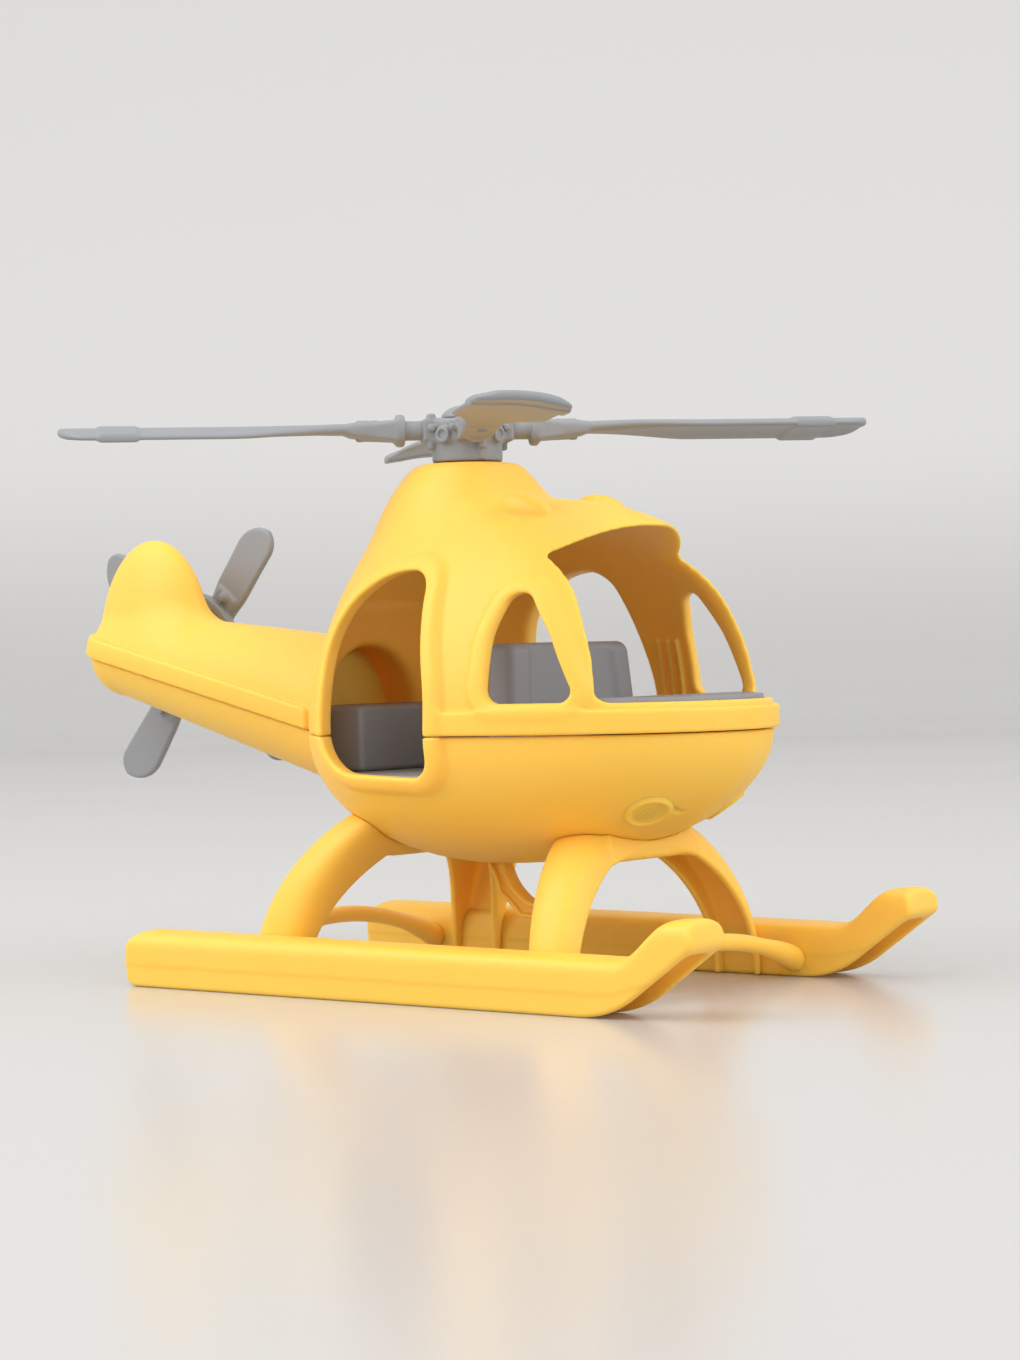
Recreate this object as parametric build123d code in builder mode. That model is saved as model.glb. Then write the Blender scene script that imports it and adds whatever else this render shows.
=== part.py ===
from build123d import *
import os

# Toy helicopter: two-piece moulded body, moulded landing gear, seats, free-spinning main and
# tail rotors. Millimetres. +X points to the nose, +Y to the aircraft's left, +Z up. The origin
# is the middle of the overall bounding box, on the surface that the skids stand on.

os.makedirs("parts", exist_ok=True)

# --- Driving dimensions -------------------------------------------------------------------

mast_x = 27.4  # main rotor axis, ahead of the origin

# Cabin: an egg whose widest section is the belt, where the two shells meet
cabin_x = mast_x + 14
belt_z = 77
nose_length = 88
rear_length = 62
half_width = 60
roof_height = 70
belly_depth = 40.5
wall = 2.6

# Tail boom: a tapering tube that rises towards the tail, closed by a bulkhead near the cabin
boom_front_x = mast_x - 30
boom_rear_x = mast_x - 150
boom_front_z = 79.1
boom_slope = 0.2035
boom_front_radius = 25.1
boom_rear_radius = 13.8
bulkhead_x = mast_x - 54
boom_split_x = mast_x - 44.5  # the seam between the shells is level ahead of here
boom_split_slope = 0.2265

# Raised details of the shells
rim_height = 7
rim_relief = 1.3
frame_width = 4.6
door_frame_relief = 1.9
window_frame_relief = 1.2

# Rotors
rotor_radius = 125
rotor_z = 169.4
rotor_phase = -44
blade_count = 4
blade_chord = 27
blade_thickness = 2.6
cone_top_z = 159
cone_top_radius = 15.6
fairing_foot_z = 121
crown_thickness = 4
shaft_radius = 4
shaft_bottom_z = 148
shaft_top_z = 165
clip_top_z = 154.5
clip_thickness = 3.5
collar_radius = 10.8
hub_radius = 12.5
hub_height = 7.2
cap_radius = 7.5
arm_radius = 3
grip_start = 22.5
grip_height = 5
pin_radius = 1.5
pin_reach = 4.2
shaft_clearance = 0.05
running_gap = 0.5

tail_rotor_x = mast_x - 138
tail_rotor_z = 101.8
tail_rotor_radius = 53.2
tail_rotor_phase = 52.3
tail_disc_radius = 21
tail_blade_width = 13
tail_disc_thickness = 3
tail_disc_y = 19.2
tail_axle_radius = 2.5
tail_axle_reach = 14

# Landing gear
skid_y = 57.7
skid_half_width = 8.8
skid_height = 18
skid_wall = 2.4
arch_outer_half_width = 54
arch_outer_height = 62
arch_inner_half_width = 46.5
crown_bottom_z = 40
crown_height = 16
# each arch leans towards the middle of the cabin: where it stands, lean, inner height, width
front_foot_x = mast_x + 65
front_lean = -0.12
front_inner_height = 42.3
front_arch_width = 18
rear_foot_x = mast_x - 41.5
rear_lean = 0.4
rear_inner_height = 46
rear_arch_width = 18.5
front_tube_x = mast_x + 84
rear_tube_x = mast_x - 57
tube_radius = 2.5
skid_round = 5
arch_round = 5
crown_half_width = 18
hook_thickness = 5
hook_width = 6
headlight_radius = 6.2
headlight_reach = 4.8

# Cabin fittings
floor_top_z = 65.5
floor_thickness = 3
fit_gap = 0.3
deck_top_z = 87.2
deck_rear_x = mast_x + 74
seat_front_x = mast_x + 40
seat_thickness = 10.5
seat_height = 38
bench_front_x = mast_x - 15
bench_top_z = 85.4

# Fasteners of the landing gear, and their bosses in the belly
screw_y = 12
screw_head_z = 39.2
screw_head_radius = 3
screw_head_height = 2.4
screw_radius = 1.5
screw_length = 22
boss_radius = 4
boss_top_z = floor_top_z - floor_thickness

far = 400  # longer than anything here, for cutting right through
on_base = (Align.CENTER, Align.CENTER, Align.MIN)


# --- Shapes that several pieces share -----------------------------------------------------


def half_egg(grow, upper):
    """The cabin's egg above or below the belt, grown outwards all round."""
    low, high = (0, 90) if upper else (-90, 0)
    height = (roof_height if upper else belly_depth) + grow
    with BuildPart() as nose:
        Sphere(1, low, high, 180, rotation=(0, 0, -90), align=None)
        scale(by=(nose_length + grow, half_width + grow, height))
    with BuildPart() as rear:
        Sphere(1, low, high, 180, rotation=(0, 0, 90), align=None)
        scale(by=(rear_length + grow, half_width + grow, height))
    place = Location((cabin_x, 0, belt_z))
    return (nose.part + rear.part).moved(place)


def boom_axis_z(x):
    """Height of the boom's centre line."""
    return boom_front_z + boom_slope * (boom_front_x - x)


def boom_plane(x):
    """Plane square to the boom at x, looking towards the tail."""
    return Plane(origin=(x, 0, boom_axis_z(x)), x_dir=(0, 1, 0), z_dir=(-1, 0, boom_slope))


def boom_radius(x):
    """Radius of the tapering boom at x."""
    share = (boom_front_x - x) / (boom_front_x - boom_rear_x)
    return boom_front_radius + share * (boom_rear_radius - boom_front_radius)


def boom_solid(grow, front_x, rounded_end=True):
    """The boom's tapering tube as a solid, grown outwards, with its round tail end."""
    with BuildPart() as boom:
        with BuildSketch(boom_plane(front_x)):
            Circle(boom_radius(front_x) + grow)
        with BuildSketch(boom_plane(boom_rear_x)):
            Circle(boom_rear_radius + grow)
        loft()
        if rounded_end:
            with Locations((boom_rear_x, 0, boom_axis_z(boom_rear_x))):
                Sphere(boom_rear_radius + grow)
    return boom.part


def seam_z(x):
    """Height of the seam between the shells at x."""
    return belt_z + boom_split_slope * max(0, boom_split_x - x)


def seam_region(bottom, top):
    """Everything between two heights measured from the seam."""
    rear_x = mast_x - 190
    front_x = mast_x + 130
    outline = [
        (rear_x, seam_z(rear_x) + bottom),
        (boom_split_x, belt_z + bottom),
        (front_x, belt_z + bottom),
        (front_x, belt_z + top),
        (boom_split_x, belt_z + top),
        (rear_x, seam_z(rear_x) + top),
    ]
    with BuildPart() as region:
        with BuildSketch(Plane.XZ):
            with BuildLine():
                Polyline(*outline, close=True)
            make_face()
        extrude(amount=far / 2, both=True)
    return region.part


def door_prism(grow):
    """Both door openings as one bar across the cabin, grown round its outline."""
    with BuildPart() as door:
        with BuildSketch(Plane.XZ):
            with BuildLine():
                FilletPolyline(
                    (mast_x + 30, 65),
                    (mast_x + 29.4, 88),
                    (mast_x + 22.5, 125),
                    (mast_x - 13.6, 125),
                    (mast_x - 13.6, 65),
                    close=True,
                    radius=(9, 60, 9, 20, 14),
                )
            make_face()
            if grow:
                offset(amount=grow)
        extrude(amount=far / 2, both=True)
    return door.part


def side_window_prism(grow):
    """Both side windows as one bar across the cabin, grown round its outline."""
    with BuildPart() as window:
        with BuildSketch(Plane.XZ):
            with BuildLine():
                Polyline(
                    (mast_x + 47.4, 86.2),
                    (mast_x + 74, 86.2),
                    (mast_x + 66.8, 101.5),
                    (mast_x + 52.5, 121.5),
                    (mast_x + 47.4, 110),
                    close=True,
                )
            make_face()
            fillet(vertices(), 3.5)
            if grow:
                offset(amount=grow)
        extrude(amount=far / 2, both=True)
    return window.part


def windscreen_prism():
    """The windscreen opening, running forward from behind the brow."""
    with BuildPart() as screen:
        with BuildSketch(Plane.YZ.offset(mast_x + 50)):
            with BuildLine():
                crown = ThreePointArc((-32.5, 127), (0, 137), (32.5, 127))
                port = ThreePointArc(crown @ 1, (38.5, 110), (40.5, 86))
                sill = Line(port @ 1, (-40.5, 86))
                ThreePointArc(sill @ 1, (-38.5, 110), crown @ 0)
            make_face()
            fillet(vertices(), 3.5)
        extrude(amount=far / 4)
    return screen.part


cabin_outer = half_egg(0, True) + half_egg(0, False)
cabin_inner = half_egg(-wall, True) + half_egg(-wall, False)
cabin_lining = half_egg(-wall - fit_gap, True) + half_egg(-wall - fit_gap, False)
boom_outer = boom_solid(0, boom_front_x)
body_hollow = cabin_inner + boom_solid(-wall, boom_front_x)
doors = door_prism(0)

with BuildPart() as bulkhead:
    with BuildSketch(boom_plane(bulkhead_x)):
        Circle(boom_radius(bulkhead_x))
    extrude(amount=wall)

# --- Landing gear -------------------------------------------------------------------------


def skid_outline():
    """Side view of a skid: flat sole, round tail, upswept toe."""
    sole = Line((mast_x - 84, 0), (mast_x + 92, 0))
    toe_under = Spline(sole @ 1, (mast_x + 108, 3.2), (mast_x + 121, 15), tangents=((1, 0.12), (0.7, 0.7)))
    toe_end = Line(toe_under @ 1, (mast_x + 126.6, 21.4))
    tip = ThreePointArc(toe_end @ 1, (mast_x + 124.6, 26.2), (mast_x + 119, 27.4))
    top_of_toe = Spline(tip @ 1, (mast_x + 107, 22.2), (mast_x + 90, 16.4), tangents=((-1, 0.1), (-1, 0)))
    top = Line(top_of_toe @ 1, (mast_x - 78, skid_height))
    tail = ThreePointArc(top @ 1, (mast_x - 86.5, 14.8), (mast_x - 89, 6))
    TangentArc(tail @ 1, sole @ 0, tangent=(0, -1))


def skid_block(side):
    """One skid before it is hollowed."""
    with BuildPart() as block:
        with BuildSketch(Plane.XZ.offset(-side * skid_y)):
            with BuildLine():
                skid_outline()
            make_face()
        extrude(amount=skid_half_width, both=True)
        upper = block.edges().filter_by(lambda edge: edge.center().Z > skid_height / 2)
        fillet(upper.filter_by(Axis.Y, reverse=True), skid_round)
    return block.part


def arch(foot_x, lean, inner_height, width):
    """A landing-gear arch: a channel, open inwards, leaning towards the middle of the cabin."""
    slant = (1 + lean * lean) ** 0.5
    upright = Plane(origin=(foot_x, 0, 0), x_dir=(0, 1, 0), z_dir=(1, 0, -lean))
    with BuildPart() as bow:
        with BuildSketch(upright):
            Ellipse(arch_outer_half_width, arch_outer_height * slant)
            Ellipse(arch_inner_half_width, inner_height * slant, mode=Mode.SUBTRACT)
            with Locations((0, -far / 2)):
                Rectangle(far, far, mode=Mode.SUBTRACT)
        extrude(amount=width / 2, both=True)
        outer_edges = bow.edges().group_by(SortBy.LENGTH)[-1]
        fillet(outer_edges, arch_round)
        with BuildSketch(upright):
            with Locations((0, crown_bottom_z * slant)):
                Rectangle(2 * crown_half_width, crown_height, align=(Align.CENTER, Align.MIN))
        extrude(amount=width / 2, both=True)
        # the channel, which stops short of the solid crown
        with BuildSketch(upright):
            Ellipse(arch_outer_half_width - skid_wall, (arch_outer_height - skid_wall) * slant)
            Rectangle(2 * crown_half_width, far / 2, mode=Mode.SUBTRACT)
        extrude(amount=width / 2 - skid_wall, both=True, mode=Mode.SUBTRACT)
        split(bisect_by=Plane.XY.offset(0.3), keep=Keep.TOP)
        add(cabin_outer, mode=Mode.SUBTRACT)
        add(boom_outer, mode=Mode.SUBTRACT)
        add(skid_blocks, mode=Mode.SUBTRACT)
        add(gear_screws.part, mode=Mode.SUBTRACT)
    return bow.part


def cross_tube(tube_x, middle_z, end_z):
    """A bowed bar between the skids."""
    with BuildPart() as bar:
        with BuildLine(Plane.YZ.offset(tube_x)) as path:
            ThreePointArc((-52, end_z), (0, middle_z), (52, end_z))
        with BuildSketch(Plane(origin=path.line @ 0, z_dir=path.line % 0)):
            Circle(tube_radius)
        sweep()
        add(skid_blocks, mode=Mode.SUBTRACT)
    return bar.part


front_screw_x = front_foot_x + front_lean * crown_bottom_z
rear_screw_x = rear_foot_x + rear_lean * crown_bottom_z
with BuildPart() as gear_screws:
    for arch_x in (front_screw_x, rear_screw_x):
        for side in (-1, 1):
            with Locations((arch_x, side * screw_y, screw_head_z)):
                Cylinder(screw_head_radius, screw_head_height, align=on_base)
                Cylinder(screw_radius, screw_length, align=on_base)
gear_screws.part.label = "gear_screws"

skid_blocks = skid_block(-1) + skid_block(1)

with BuildPart() as skid_hollow:
    with BuildSketch(Plane.XZ):
        with BuildLine():
            roof = Line((mast_x - 78, skid_height - skid_wall), (mast_x + 91, 14))
            toe = Spline(roof @ 1, (mast_x + 106, 18.5), (mast_x + 116, 22.5), tangents=((1, 0), (1, 0.3)))
            Polyline(
                toe @ 1,
                (mast_x + 124, 12),
                (mast_x + 92, -1),
                (mast_x - 79, -1),
                (mast_x - 83, 9),
                roof @ 0,
            )
        make_face()
    extrude(amount=skid_half_width - skid_wall, both=True)

skids = {}
for name, side in (("skid_right", -1), ("skid_left", 1)):
    with BuildPart() as skid:
        add(skid_block(side))
        add(skid_hollow.part.moved(Location((0, side * skid_y, 0))), mode=Mode.SUBTRACT)
    skid.part.label = name
    skids[name] = skid.part

front_arch = arch(front_foot_x, front_lean, front_inner_height, front_arch_width)
front_arch.label = "front_arch"
rear_arch = arch(rear_foot_x, rear_lean, rear_inner_height, rear_arch_width)
rear_arch.label = "rear_arch"
front_cross_tube = cross_tube(front_tube_x, 14.4, 5.5)
front_cross_tube.label = "front_cross_tube"
rear_cross_tube = cross_tube(rear_tube_x, 17.8, 7)
rear_cross_tube.label = "rear_cross_tube"

with BuildPart() as belly_hook:
    with BuildSketch(Plane.XZ):
        with BuildLine():
            Spline(
                (mast_x + 8, 42),
                (mast_x + 11, 31),
                (mast_x + 20, 21.5),
                (mast_x + 32, 22),
                (mast_x + 37, 30),
            )
        trace(line_width=hook_thickness)
    extrude(amount=hook_width / 2, both=True)
    add(cabin_outer, mode=Mode.SUBTRACT)
belly_hook.part.label = "belly_hook"

# --- Shells -------------------------------------------------------------------------------

with BuildPart() as tail_fin:
    Sphere(1)
    scale(by=(23.5, 10.5, 36))

with BuildPart() as roof_bump:
    Sphere(1)
    scale(by=(9, 4, 4))

with BuildPart() as rim:
    add(half_egg(rim_relief, True))
    add(half_egg(rim_relief, False))
    add(boom_solid(rim_relief, boom_front_x))
    add(seam_region(0, rim_height), mode=Mode.INTERSECT)

with BuildPart() as door_surrounds:
    add(half_egg(door_frame_relief, True))
    add(half_egg(door_frame_relief, False))
    add(door_prism(frame_width), mode=Mode.INTERSECT)

with BuildPart() as window_surrounds:
    add(half_egg(window_frame_relief, True))
    add(side_window_prism(frame_width), mode=Mode.INTERSECT)

with BuildPart() as upper_shell:
    add(cabin_outer)
    add(boom_outer)
    # the mast fairing flares down into the roof
    with BuildSketch(Plane.XZ):
        with BuildLine():
            crown = Line((mast_x, cone_top_z), (mast_x + cone_top_radius, cone_top_z))
            flare = Spline(crown @ 1, (mast_x + 22, 152.5), (mast_x + 30.5, 135), (mast_x + 36.5, fairing_foot_z))
            foot = Line(flare @ 1, (mast_x, fairing_foot_z))
            Line(foot @ 1, crown @ 0)
        make_face()
    revolve(axis=Axis((mast_x, 0, 0), (0, 0, 1)))
    add(tail_fin.part.moved(Location((mast_x - 135, 0, 104.4))))
    for side in (-1, 1):
        add(roof_bump.part.moved(Location((mast_x + 38, side * 20, 139.5))))
    add(rim.part)
    add(door_surrounds.part)
    add(window_surrounds.part)
    add(body_hollow, mode=Mode.SUBTRACT)
    with Locations((mast_x, 0, fairing_foot_z)):
        fairing_depth = cone_top_z - crown_thickness - fairing_foot_z
        Cone(34, 11, fairing_depth, align=on_base, mode=Mode.SUBTRACT)
    add(bulkhead.part)
    add(seam_region(-far / 4, 0), mode=Mode.SUBTRACT)
    add(doors, mode=Mode.SUBTRACT)
    add(side_window_prism(0), mode=Mode.SUBTRACT)
    add(windscreen_prism(), mode=Mode.SUBTRACT)
    with Locations((mast_x, 0, cone_top_z)):
        Cylinder(shaft_radius + shaft_clearance, 30, mode=Mode.SUBTRACT)
    with Locations((tail_rotor_x, tail_disc_y, tail_rotor_z)):
        bore_radius = tail_axle_radius + shaft_clearance
        Cylinder(bore_radius, 2 * tail_disc_y, rotation=(90, 0, 0), mode=Mode.SUBTRACT)
upper_shell.part.label = "upper_shell"

with BuildPart() as lower_shell:
    add(cabin_outer)
    add(boom_outer)
    add(door_surrounds.part)
    for side in (-1, 1):
        lamp_axis = (0.507, side * 0.342, -0.79)
        with BuildSketch(Plane(origin=(mast_x + 79, side * 19.7, 58), z_dir=lamp_axis)):
            Circle(headlight_radius)
        extrude(amount=headlight_reach)
    add(body_hollow, mode=Mode.SUBTRACT)
    add(bulkhead.part)
    # bosses that take the landing gear's screws
    with BuildSketch(Plane.XY.offset(boss_top_z)):
        for arch_x in (front_screw_x, rear_screw_x):
            with Locations((arch_x, -screw_y), (arch_x, screw_y)):
                Circle(boss_radius)
    extrude(until=Until.NEXT, dir=(0, 0, -1))
    add(seam_region(0, far / 4), mode=Mode.SUBTRACT)
    add(doors, mode=Mode.SUBTRACT)
    add(gear_screws.part, mode=Mode.SUBTRACT)
lower_shell.part.label = "lower_shell"

# --- Cabin fittings -----------------------------------------------------------------------

with BuildPart() as cabin_floor:
    with Locations((cabin_x, 0, floor_top_z - floor_thickness)):
        Box(far, far, floor_thickness, align=on_base)
    # deck along the windscreen sill, on a bulkhead that rises from the floor
    with Locations((deck_rear_x, 0, deck_top_z)):
        Box(far, far, floor_thickness, align=(Align.MIN, Align.CENTER, Align.MAX))
    with Locations((deck_rear_x, 0, floor_top_z)):
        Box(floor_thickness, far, deck_top_z - floor_top_z, align=(Align.MIN, Align.CENTER, Align.MIN))
    add(cabin_lining, mode=Mode.INTERSECT)
cabin_floor.part.label = "cabin_floor"

with BuildPart() as front_seat:
    with Locations((seat_front_x, 0, floor_top_z)):
        Box(seat_thickness, 60, seat_height, align=(Align.MAX, Align.CENTER, Align.MIN))
    corners = front_seat.edges().filter_by(Axis.X).group_by(Axis.Z)[-1]
    fillet(corners, 6)
    with Locations((seat_front_x, 0, floor_top_z)):
        Box(22, 56, seat_thickness, align=(Align.MIN, Align.CENTER, Align.MIN))
    fillet(front_seat.edges().filter_by(Axis.Y).group_by(Axis.X)[-1], 2)
front_seat.part.label = "front_seat"

with BuildPart() as rear_bench:
    with Locations((bench_front_x, 0, floor_top_z)):
        bench_height = bench_top_z - floor_top_z
        Box(40, 71, bench_height, align=(Align.MAX, Align.CENTER, Align.MIN))
    add(cabin_lining, mode=Mode.INTERSECT)
rear_bench.part.label = "rear_bench"

# --- Main rotor ---------------------------------------------------------------------------

with BuildPart() as mast_shaft:
    with Locations((mast_x, 0, shaft_bottom_z)):
        Cylinder(shaft_radius, shaft_top_z - shaft_bottom_z, align=on_base)
mast_shaft.part.label = "mast_shaft"

with BuildPart() as mast_clip:
    with Locations((mast_x, 0, clip_top_z - clip_thickness)):
        Cylinder(2 * shaft_radius, clip_thickness, align=on_base)
    add(mast_shaft.part, mode=Mode.SUBTRACT)
mast_clip.part.label = "mast_clip"

with BuildPart() as rotor_hub:
    with Locations((mast_x, 0, cone_top_z + running_gap)):
        Cylinder(collar_radius, 7, align=on_base)
    with BuildSketch(Plane((mast_x, 0, rotor_z - hub_height / 2))):
        RegularPolygon(hub_radius, 8, major_radius=False, rotation=rotor_phase + 22.5)
    extrude(amount=hub_height)
    add(mast_shaft.part, mode=Mode.SUBTRACT)
rotor_hub.part.label = "rotor_hub"

with BuildPart() as rotor_cap:
    with Locations((mast_x, 0, rotor_z + hub_height / 2)):
        Cylinder(cap_radius, 4.2, align=on_base)
    fillet(rotor_cap.edges().group_by(Axis.Z)[-1], 3)
rotor_cap.part.label = "rotor_cap"


def blade_plane(number):
    """Plane of a main rotor blade: X runs out along the blade, Z is up."""
    turn = rotor_phase + number * 360 / blade_count
    return Plane((mast_x, 0, rotor_z)).rotated((0, 0, turn))


def pin_places():
    """Where a blade's two root pins stand, along the blade."""
    return Locations((28.5, 0), (33, 0))


with BuildPart() as blade_pins:
    for number in range(blade_count):
        with BuildSketch(blade_plane(number).offset(-pin_reach)):
            with pin_places():
                Circle(pin_radius)
        extrude(amount=2 * pin_reach)
blade_pins.part.label = "blade_pins"

rotor_blades = []
for number in range(blade_count):
    plane = blade_plane(number)
    across = Plane(origin=plane.origin, x_dir=plane.y_dir, z_dir=plane.x_dir)
    with BuildPart() as blade:
        # round arm with its collar
        with BuildSketch(across.offset(hub_radius)):
            Circle(arm_radius)
        extrude(amount=grip_start - hub_radius)
        with BuildSketch(across.offset(grip_start - 2.5)):
            Circle(arm_radius + 1.2)
        extrude(amount=2.5)
        # flat grip that carries the pins, then the blade
        with BuildSketch(plane.offset(-grip_height / 2)):
            with Locations((grip_start, 0)):
                Rectangle(14, 10, align=(Align.MIN, Align.CENTER))
        extrude(amount=grip_height)
        with BuildSketch(plane.offset(-blade_thickness / 2)):
            with BuildLine():
                edge = Spline((30, 4), (48, 11), (80, blade_chord / 2), (114, blade_chord / 2))
                tip = ThreePointArc(edge @ 1, (rotor_radius, 0), (114, -blade_chord / 2))
                trail = Spline(tip @ 1, (80, -blade_chord / 2), (48, -11), (30, -4))
                Line(trail @ 1, edge @ 0)
            make_face()
        extrude(amount=blade_thickness)
        add(blade_pins.part, mode=Mode.SUBTRACT)
    blade.part.label = f"rotor_blade_{number + 1}"
    rotor_blades.append(blade.part)

# --- Tail rotor ---------------------------------------------------------------------------

tail_plane = Plane((tail_rotor_x, tail_disc_y, tail_rotor_z), x_dir=(1, 0, 0), z_dir=(0, 1, 0))

with BuildPart() as tail_axle:
    with BuildSketch(tail_plane.offset(-tail_axle_reach)):
        Circle(tail_axle_radius)
    extrude(amount=tail_axle_reach + tail_disc_thickness + 3)
tail_axle.part.label = "tail_axle"

with BuildPart() as tail_clip:
    with BuildSketch(tail_plane.offset(-tail_axle_reach)):
        Circle(2 * tail_axle_radius)
        Circle(tail_axle_radius, mode=Mode.SUBTRACT)
    extrude(amount=clip_thickness)
tail_clip.part.label = "tail_clip"

with BuildPart() as tail_hub:
    with BuildSketch(tail_plane):
        Circle(tail_disc_radius)
        with PolarLocations(13.5, 16, start_angle=360 / 32):
            SlotOverall(9, 1.8)
    extrude(amount=tail_disc_thickness)
    with BuildSketch(tail_plane):
        Circle(6)
    extrude(amount=tail_disc_thickness + 3.5)
    add(tail_axle.part, mode=Mode.SUBTRACT)
tail_hub.part.label = "tail_hub"

tail_blades = []
for number in range(blade_count):
    turn = tail_rotor_phase + number * 360 / blade_count
    blade_face = tail_plane.offset(tail_disc_thickness).rotated((0, -turn, 0))
    with BuildPart() as tail_blade:
        with BuildSketch(blade_face):
            with BuildLine():
                edge = Spline((15, 4), (30, 5.5), (46, tail_blade_width / 2))
                tip = ThreePointArc(edge @ 1, (tail_rotor_radius, 0), (46, -tail_blade_width / 2))
                trail = Spline(tip @ 1, (30, -5.5), (15, -4))
                Line(trail @ 1, edge @ 0)
            make_face()
        extrude(amount=blade_thickness)
    tail_blade.part.label = f"tail_blade_{number + 1}"
    tail_blades.append(tail_blade.part)

# --- Files --------------------------------------------------------------------------------

pieces = [upper_shell.part, lower_shell.part, cabin_floor.part, front_seat.part, rear_bench.part]
pieces += [*skids.values(), front_arch, rear_arch, front_cross_tube, rear_cross_tube]
pieces += [belly_hook.part, gear_screws.part, mast_shaft.part, mast_clip.part, rotor_hub.part]
pieces += [rotor_cap.part, blade_pins.part, *rotor_blades]
pieces += [tail_axle.part, tail_clip.part, tail_hub.part, *tail_blades]
for piece in pieces:
    export_step(piece, f"parts/{piece.label}.step")
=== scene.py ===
import math

import bpy
import numpy as np
import openvdb
from mathutils import Matrix, Vector


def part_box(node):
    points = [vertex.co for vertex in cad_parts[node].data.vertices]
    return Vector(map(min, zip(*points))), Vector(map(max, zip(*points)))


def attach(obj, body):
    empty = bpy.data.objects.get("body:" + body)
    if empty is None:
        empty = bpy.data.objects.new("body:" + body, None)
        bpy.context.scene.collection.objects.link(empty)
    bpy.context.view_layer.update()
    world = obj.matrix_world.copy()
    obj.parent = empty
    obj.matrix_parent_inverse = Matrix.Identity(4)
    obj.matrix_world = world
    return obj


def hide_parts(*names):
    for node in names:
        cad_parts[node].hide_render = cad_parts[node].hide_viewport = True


# Toy helicopter. Every moulded piece is a distance field: its value is the distance to the
# surface, negative inside. Fields are in millimetres, with x measured forward from the main
# rotor's axis, y to the aircraft's left and z up from the surface that the skids stand on.

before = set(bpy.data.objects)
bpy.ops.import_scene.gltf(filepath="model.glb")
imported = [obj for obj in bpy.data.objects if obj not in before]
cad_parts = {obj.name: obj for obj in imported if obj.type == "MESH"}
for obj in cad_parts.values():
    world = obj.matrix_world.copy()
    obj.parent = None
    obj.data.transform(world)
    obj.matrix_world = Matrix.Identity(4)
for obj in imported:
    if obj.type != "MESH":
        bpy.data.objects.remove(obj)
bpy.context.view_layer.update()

MM = 0.001
mast_low, mast_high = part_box("mast_shaft")
MAST_X = (mast_low.x + mast_high.x) / 2 / MM

# Cabin egg, widest at the belt where the two shells meet
CABIN_X = 14
BELT_Z = 77
NOSE_LENGTH = 88
REAR_LENGTH = 62
HALF_WIDTH = 60
ROOF_HEIGHT = 70
BELLY_DEPTH = 40.5
WALL = 2.6
BROW_BULGE = 15
SHELL_GAP = 0.12

# Mast fairing, boom and fin
FAIRING_TOP_Z = 159
FAIRING_FOOT_Z = 106
FAIRING_BORE = 4.1
BOOM_ROOT_X = -62
BOOM_ROOT_Z = 85.6
BOOM_ROOT_RADIUS = 22.1
BOOM_FRONT_X = -25
BOOM_END_X = -145.5
BOOM_SLOPE = 0.2035
BOOM_TAPER = 0.094
SEAM_BEND_X = -44.5
SEAM_SLOPE = 0.2265
FIN_X = -135
FIN_Z = 104.4
FIN_HALF_LENGTH = 23.5
FIN_HALF_THICKNESS = 10.5
FIN_HEIGHT = 36

# Body details
BULKHEAD_X = -54
RIM_HEIGHT = 7
RIM_RELIEF = 1.6
RIM_FRONT_X = 20
RIM_REAR_X = -47
SURROUND_HALF_WIDTH = 4.6
DOOR_RELIEF = 2.7
WINDOW_RELIEF = 1.6
SURROUND_INNER_Y = 30
WINDSCREEN_BACK_X = 50
ROOF_BUMP = (37, 19.5, 143)
RIB_XS = (34.5, 38.5, 42.5)
LAMP = (79.6, 20, 54)
LAMP_RIM_RADIUS = 6.2
LAMP_REACH = 7.6
BELLY_SLIT = (84, 13, 52.5)

# Cabin fittings
FLOOR_TOP_Z = 65.5
DECK_Z = 85.7
DECK_BACK_X = 74
SEAT_BACK_X = 34.7
SEAT_MIDDLE_Z = 84.5
BENCH_X = -35
BENCH_Z = 75.4

# Rotors
ROTOR_Z = 169.4
ROTOR_PHASE = -44
BLADE_COUNT = 4
BLADE_STEP = 360 / BLADE_COUNT
PEG_REACHES = (28.5, 33)
COLLAR_RADIUS = 10.8
HUB_RADIUS = 11.6
MAST_BORE = 4.02
CAP_Z = 173
CAP_RADIUS = 7.9
TAIL_X = -138
TAIL_DISC_Y = 19.2
TAIL_Z = 101.8
TAIL_PHASE = 52.3
TAIL_DISC_RADIUS = 21.3
TAIL_SLOTS = 16
TAIL_BORE = 2.52
TAIL_AXLE_BORE = 2.6

# Landing gear
SKID_Y = 57.7
SKID_HALF_WIDTH = 8.8
CHANNEL_WALL = 2.5
ARCH_INNER_HALF_WIDTH = 46.6
CROWN_Z = 48
CROWN_HALF_HEIGHT = 9.1
CROWN_HALF_WIDTH = 21
TUBE_END_Y = 49.5
HOOK_HALF_WIDTH = 3
FRONT_TUBE_X = 84
REAR_TUBE_X = -57


# Colours, as linear red, green and blue: each plastic's two shades
YELLOW = ((1.0, 0.575, 0.085), (0.99, 0.55, 0.075))
CABIN_GREY = ((0.26, 0.264, 0.28), (0.238, 0.242, 0.257))
ROTOR_GREY = ((0.275, 0.286, 0.303), (0.257, 0.268, 0.286))
STEEL_GREY = (0.6, 0.6, 0.58)
# Floor and backdrop: painted shade on the floor and painted light on the backdrop, because the lamps light
# the floor more than the backdrop
FLOOR_COLOUR = (0.53, 0.527, 0.522)
BACKDROP_COLOUR = (0.735, 0.733, 0.729)
SKY_COLOUR = (0.74, 0.735, 0.725)
SKY_STRENGTH = 1.42

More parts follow.
